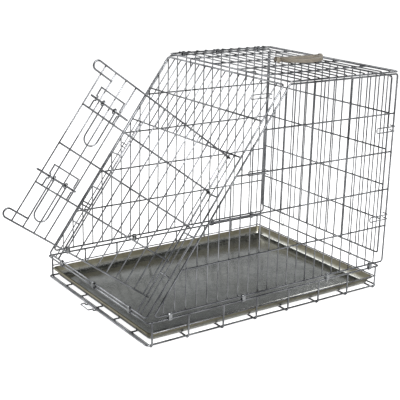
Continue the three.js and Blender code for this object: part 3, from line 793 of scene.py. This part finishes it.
def makeKeeper(name, rise, past):
    leg = half + latch["keeperPlay"] + wire["keeper"] / 2
    height = eye + latch["stand"] + leg
    x = hingeX - front["doorWidth"] - past
    y = rise + latch["above"]
    root = latch["keeperRoot"]
    path = [(y - leg, root), (y - leg, height), (y + leg, height), (y + leg, root)]
    staple = bentWire([onSlope(x, up, out) for up, out in path], wire["keeper"], latch["keeperBend"])
    finishPiece(name + "_bolt_keeper", [staple], "front", name + "_keeper", zincWire)


for latchName, sizes in latches.items():
    latchRise = doorRailAt(sizes["rail"])
    makeGuide(latchName, latchRise)
    makeBolt(latchName, latchRise, sizes["past"])
    makeHandle(latchName, latchRise, sizes["handleInset"])
    makeKeeper(latchName, latchRise, sizes["keeperPast"])
print("latches made")

clip = {"strip": 0.0013, "narrower": 0.001, "seamLow": 0.6, "seamLap": 0.2}


def makeClip(name, node, body, axis):  # a strip rolled round two wires, its seam on the inner side
    low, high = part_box(node)
    middle = (low + high) / 2
    wide = abs((high - low).dot(axis))
    flat = axis.cross(upward)
    bow = abs((high - low).dot(flat)) / 2 - clip["strip"] / 2
    up = (high.z - low.z) / 2 - clip["strip"] / 2 - bow
    share = (wide - clip["narrower"]) / clip["strip"]
    start = middle + flat * bow - upward * (up * clip["seamLow"])
    strip = startWire(start, upward, clip["strip"], 8, ([abs(c) for c in axis], share))
    runOn(upward * (up * (1 + clip["seamLow"])))
    bendRound(middle + upward * up, flat.cross(upward), math.pi, 8)
    runOn(upward * (-2 * up))
    bendRound(middle - upward * up, flat.cross(upward), math.pi, 8)
    runOn(upward * (up * clip["seamLap"]))
    endWire()
    finishPiece(name, [strip], body, node, clipSteel, 45)


for sideName in ("right", "left"):
    for i in range(1, 5):
        makeClip(f"{sideName}_rolled_clip_{i}", f"{sideName}_hinge_clip_{i}", "base", along)
for i in range(1, 4):
    makeClip(f"front_rolled_clip_{i}", f"front_hinge_clip_{i}", "base", across)
    makeClip(f"top_rolled_clip_{i}", f"top_hinge_clip_{i}", "left_side", along)
for i in range(1, 3):
    makeClip(f"back_swing_link_{i}", f"back_hinge_link_{i}", "base", across)
print("clips made")

hook = {"inward": 0.0205, "rearBend": 0.0045, "root": 0.0015, "drop": 0.016, "topReach": 0.026,
        "topBend": 0.0016, "topGap": 0.0004}


def makeRearHooks():
    for number in (1, 2):
        low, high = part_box(f"right_rear_hook_{number}")
        x, rear = high.x - wire["mesh"] / 2, high.y - wire["mesh"] / 2
        z0, z1 = low.z + wire["mesh"] / 2, high.z - wire["mesh"] / 2
        lowEnd = x - hook["inward"]
        root = low.y + hook["root"]
        path = [(lowEnd, rear, z0), (x, rear, z0), (x, root, z0), (x, root, z1), (x, rear, z1),
                (lowEnd, rear, z1)]
        right = bentWire(path, wire["mesh"], hook["rearBend"])
        left = mirrorCopy(right)
        for sideName, loop in (("right", right), ("left", left)):
            finishPiece(f"{sideName}_rear_latch_loop_{number}", [loop], f"{sideName}_side",
                        f"{sideName}_rear_hook_{number}", zincWire)


def makeTopHooks():
    for number in (1, 2):
        low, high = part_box(f"top_front_hook_{number}")
        x = (low.x + high.x) / 2
        e = half + hook["topGap"] + wire["mesh"] / 2
        tip = topFront - hook["topReach"]
        path = [(x, topFront + e, topZ - e), (x, topFront + e, topZ + e), (x, tip, topZ + e),
                (x, tip, topZ - hook["drop"])]
        finishPiece(f"top_front_catch_{number}", [bentWire(path, wire["mesh"], hook["topBend"])], "top",
                    f"top_front_hook_{number}", zincWire)


makeRearHooks()
makeTopHooks()
print("hooks made")

carry = {"grip": 0.092, "gripWide": 0.024, "gripShare": 0.42, "round": 0.0028, "barRadius": 0.004,
         "strap": 0.0022, "inset": 0.0003, "endGap": 0.001}


def makeCarryHandle():
    low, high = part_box("carry_handle")
    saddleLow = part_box("carry_handle_saddle_1")[1].y
    middle = (low + high) / 2
    hinge = low.x + carry["barRadius"]
    halfLong = middle.y - saddleLow - carry["endGap"]
    clearSelection()
    bpy.ops.mesh.primitive_cylinder_add(vertices=56, radius=1, depth=1, location=(hinge, middle.y, middle.z))
    plate = bpy.context.active_object
    plate.scale = (high.x - hinge, halfLong, high.z - low.z)
    settle()
    trim(plate, (low.x + carry["inset"], 0, 0), (-1, 0, 0))
    gripX = hinge + (high.x - hinge) * carry["gripShare"]
    radius = carry["gripWide"] / 2
    clearSelection()
    bpy.ops.mesh.primitive_cylinder_add(vertices=32, radius=radius, depth=0.04,
                                        location=(gripX, middle.y, middle.z))
    cutter = settle()
    openEdit(cutter)
    for way in (-1, 1):
        chooseEdges(cutter, lambda a, b: way * (a.y - middle.y) > 0.0001 and way * (b.y - middle.y) > 0.0001)
        bpy.ops.transform.translate(value=(0, way * (carry["grip"] / 2 - radius), 0))
    closeEdit()
    takeUp(plate)
    bpy.ops.object.modifier_add(type="BOOLEAN")
    cut = plate.modifiers[-1]
    cut.operation = "DIFFERENCE"
    cut.object = cutter
    bpy.ops.object.modifier_apply(modifier=cut.name)
    takeUp(cutter)
    bpy.ops.object.delete()
    takeUp(plate)
    bpy.ops.object.modifier_add(type="BEVEL")
    edge = plate.modifiers[-1]
    edge.width = carry["round"]
    edge.segments = 3
    edge.limit_method = "ANGLE"
    edge.angle_limit = math.radians(50)
    bpy.ops.object.modifier_apply(modifier=edge.name)
    bar = addRod((hinge, low.y, middle.z), (hinge, high.y, middle.z), 2 * carry["barRadius"] - 0.0002, 20)
    finishPiece("carry_handle_plate", [plate, bar], "carry_handle", "carry_handle", handlePlastic,
                40)


def makeSaddles():
    barLow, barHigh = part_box("carry_handle")
    hinge = Vector((barLow.x + carry["barRadius"], 0, (barLow.z + barHigh.z) / 2))
    for number in (1, 2):
        low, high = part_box(f"carry_handle_saddle_{number}")
        middle = (low + high) / 2
        reach = high.y - low.y
        thick = carry["strap"]
        bend = thick * 0.7
        arch = high.z - hinge.z - thick / 2
        foot = low.z + thick / 2
        start = Vector((low.x + carry["inset"], middle.y, foot))
        strap = startWire(start, across, thick, 8, ([0, 1, 0], reach / thick))
        runOn((hinge.x - arch - bend - start.x, 0, 0))
        bendRound((hinge.x - arch - bend, middle.y, foot + bend), along, -math.pi / 2, 4)
        runOn((0, 0, hinge.z - foot - bend))
        bendRound((hinge.x, middle.y, hinge.z), along, math.pi, 12)
        runOn((0, 0, foot + bend - hinge.z))
        bendRound((hinge.x + arch + bend, middle.y, foot + bend), along, -math.pi / 2, 4)
        runOn((high.x - carry["inset"] - hinge.x - arch - bend, 0, 0))
        endWire()
        finishPiece(f"carry_handle_strap_{number}", [strap], "top", f"carry_handle_saddle_{number}",
                    handlePlastic, 45)


makeCarryHandle()
makeSaddles()
print("carry handle made")

studio = {"floor": (0.90, 0.90, 0.90), "floorGlow": 0.96, "floorMirrored": 0.12, "seen": 1.0,
          "horizon": 0.45, "ceiling": 0.07, "bandLow": 0.26, "bandHigh": 0.68, "aim": (0, 0, 0.3)}
panels = {"keyPanel": {"place": (2.5, -0.3, 2.2), "size": (2.0, 1.5), "power": 85.0},
          "fillPanel": {"place": (-2.4, -1.4, 1.6), "size": (1.8, 1.4), "power": 20.0},
          "rimPanel": {"place": (-0.6, 2.6, 2.2), "size": (2.4, 0.8), "power": 26.0}}


def makeFloor():
    clearSelection()
    bpy.ops.mesh.primitive_plane_add(size=30, location=(0, 0, -0.0005))
    sheet = settle()
    sheet.name = "studio_floor"
    paper = bpy.data.materials.new("studioPaper")
    paper.use_nodes = True
    shader = paper.node_tree.nodes["Principled BSDF"]
    shader.inputs["Base Color"].default_value = (*studio["floor"], 1)
    shader.inputs["Roughness"].default_value = 0.85
    shader.inputs["Specular IOR Level"].default_value = 0.2
    shader.inputs["Emission Color"].default_value = (1, 1, 1, 1)
    tree = paper.node_tree
    rays = addNode(tree, "ShaderNodeLightPath", (-600, 0))
    glow = spanOf(tree, rays.outputs["Is Camera Ray"], studio["floorMirrored"], studio["floorGlow"],
                  (-300, 0))
    tree.links.new(glow, shader.inputs["Emission Strength"])
    sheet.data.materials.append(paper)


def addPanelLight(name, place, aim, size, power):
    lamp = bpy.data.lights.new(name, "AREA")
    lamp.shape = "RECTANGLE"
    lamp.size, lamp.size_y = size
    lamp.energy = power
    holder = bpy.data.objects.new(name, lamp)
    bpy.context.scene.collection.objects.link(holder)
    holder.location = place
    holder.rotation_euler = (Vector(aim) - Vector(place)).to_track_quat("-Z", "Y").to_euler()


def makeWorld():
    world = bpy.data.worlds.new("studioRoom")
    bpy.context.scene.world = world
    world.use_nodes = True
    tree = world.node_tree
    seen = tree.nodes["Background"]
    seen.inputs["Color"].default_value = (1, 1, 1, 1)
    seen.inputs["Strength"].default_value = studio["seen"]
    room = addNode(tree, "ShaderNodeBackground", (0, -200))
    room.inputs["Color"].default_value = (0.96, 0.98, 1.0, 1)
    sky = addNode(tree, "ShaderNodeTexCoord", (-900, -300))
    height = addNode(tree, "ShaderNodeSeparateXYZ", (-700, -300))
    tree.links.new(sky.outputs["Generated"], height.inputs[0])
    band = addNode(tree, "ShaderNodeMapRange", (-450, -300), interpolation_type="SMOOTHSTEP")
    feed(tree, band, {"Value": height.outputs["Z"],
                      "From Min": studio["bandLow"], "From Max": studio["bandHigh"],
                      "To Min": studio["horizon"], "To Max": studio["ceiling"]})
    tree.links.new(band.outputs["Result"], room.inputs["Strength"])
    rays = addNode(tree, "ShaderNodeLightPath", (0, 300))
    mix = addNode(tree, "ShaderNodeMixShader", (300, 0))
    tree.links.new(rays.outputs["Is Camera Ray"], mix.inputs[0])
    tree.links.new(room.outputs[0], mix.inputs[1])
    tree.links.new(seen.outputs[0], mix.inputs[2])
    tree.links.new(mix.outputs[0], tree.nodes["World Output"].inputs["Surface"])


shot = {"azimuth": 55.37, "elevation": 16.78, "roll": 1.37, "distance": 2.5936, "focal": 920.5,
        "target": (0.0014, -0.0521, 0.2605), "picture": 400, "sensor": 36.0}


def makeCamera():
    lens = bpy.data.cameras.new("studioCamera")
    holder = bpy.data.objects.new("studioCamera", lens)
    bpy.context.scene.collection.objects.link(holder)
    turn, lift = math.radians(shot["azimuth"]), math.radians(shot["elevation"])
    away = Vector((math.sin(turn) * math.cos(lift), -math.cos(turn) * math.cos(lift), math.sin(lift)))
    holder.location = Vector(shot["target"]) + away * shot["distance"]
    facing = (-away).to_track_quat("-Z", "Y")
    holder.rotation_mode = "QUATERNION"
    holder.rotation_quaternion = Quaternion(away, math.radians(shot["roll"])) @ facing
    lens.sensor_width = shot["sensor"]
    lens.lens = shot["focal"] / shot["picture"] * shot["sensor"]
    lens.clip_start, lens.clip_end = 0.05, 100
    bpy.context.scene.camera = holder


makeFloor()
makeWorld()
for panelName, panel in panels.items():
    addPanelLight(panelName, panel["place"], studio["aim"], panel["size"], panel["power"])
makeCamera()
bpy.context.scene.view_settings.view_transform = "Standard"
print("studio made")
